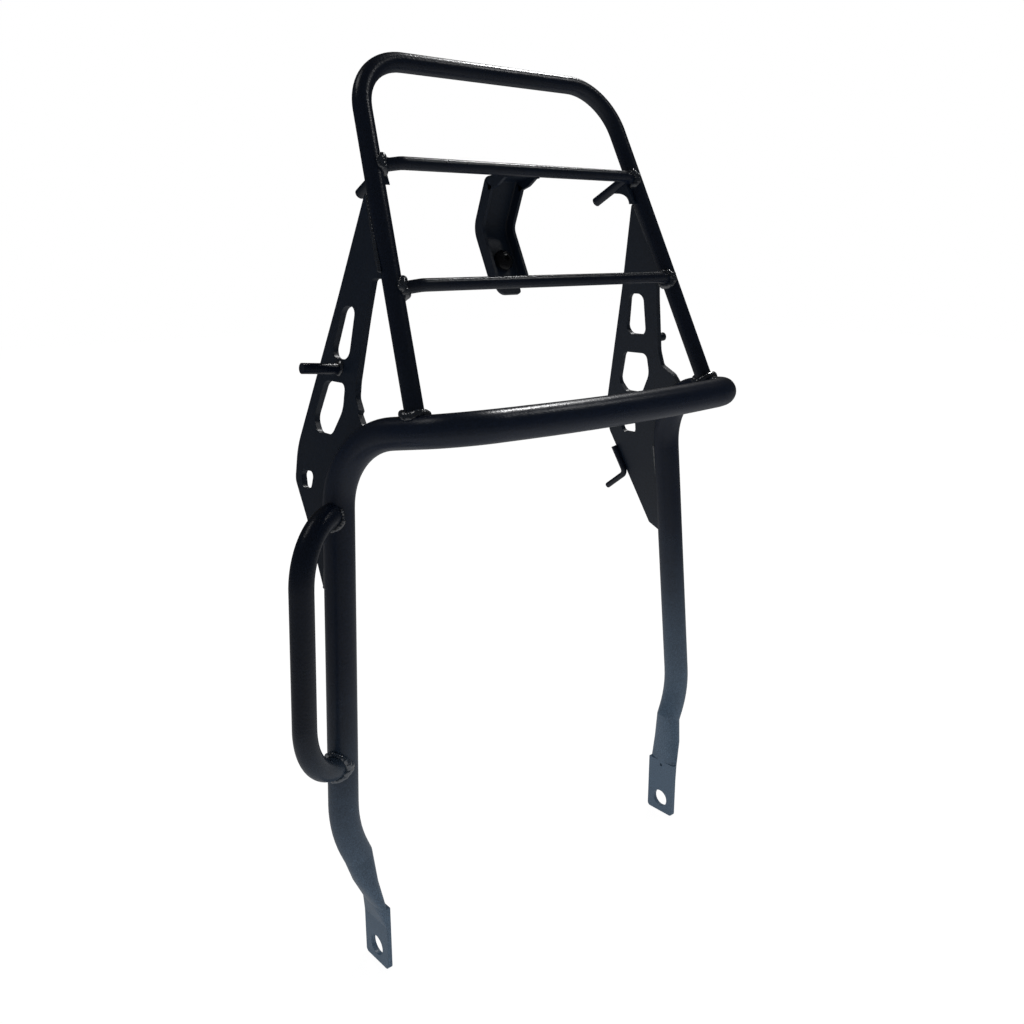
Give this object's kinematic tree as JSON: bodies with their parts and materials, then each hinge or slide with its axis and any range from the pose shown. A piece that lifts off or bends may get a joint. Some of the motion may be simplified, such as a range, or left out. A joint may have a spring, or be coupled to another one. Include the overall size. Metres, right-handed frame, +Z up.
{
  "type": "motorcycle luggage rack",
  "caption": "Welded tube luggage rack: a tall hoop on drilled feet, a leaning rack frame with crossbars, slotted side plates, pegs, a hook, a bracket and a lifting handle.",
  "frame": {"origin": "midway between the two foot holes, on their common axis", "axes": "+X to the rack's right along the foot holes' axis, +Y to the rear, +Z up the legs"},
  "size_m": [0.4815, 0.2171, 0.752],
  "materials": {
    "coated_hoop": "satin black powder coat on bent steel tube",
    "coated_tube": "satin black powder coat on steel tube and bar",
    "coated_plate": "satin black powder coat on cut steel sheet",
    "coated_rod": "satin black powder coat on steel rod",
    "coated_fastener": "black coated steel screw and nut",
    "coated_welds": "glossy black powder coat over weld beads"
  },
  "bodies": {
    "root": {"main_hoop": "coated_hoop", "rack_frame": "coated_tube", "upper_crossbar": "coated_tube", "lower_crossbar": "coated_tube", "left_side_plate": "coated_plate", "right_side_plate": "coated_plate", "left_upper_peg": "coated_rod", "right_upper_peg": "coated_rod", "left_peg_gusset": "coated_plate", "right_peg_gusset": "coated_plate", "left_side_peg": "coated_rod", "right_side_peg": "coated_rod", "lashing_hook": "coated_rod", "centre_bracket": "coated_plate", "bracket_screw": "coated_fastener", "bracket_nut": "coated_fastener", "lifting_handle": "coated_tube", "frame_foot_welds": "coated_welds", "upper_crossbar_welds": "coated_welds", "lower_crossbar_welds": "coated_welds", "left_plate_welds": "coated_welds", "right_plate_welds": "coated_welds", "side_peg_welds": "coated_welds", "handle_welds": "coated_welds", "bracket_weld": "coated_welds"}
  },
  "joints": []
}
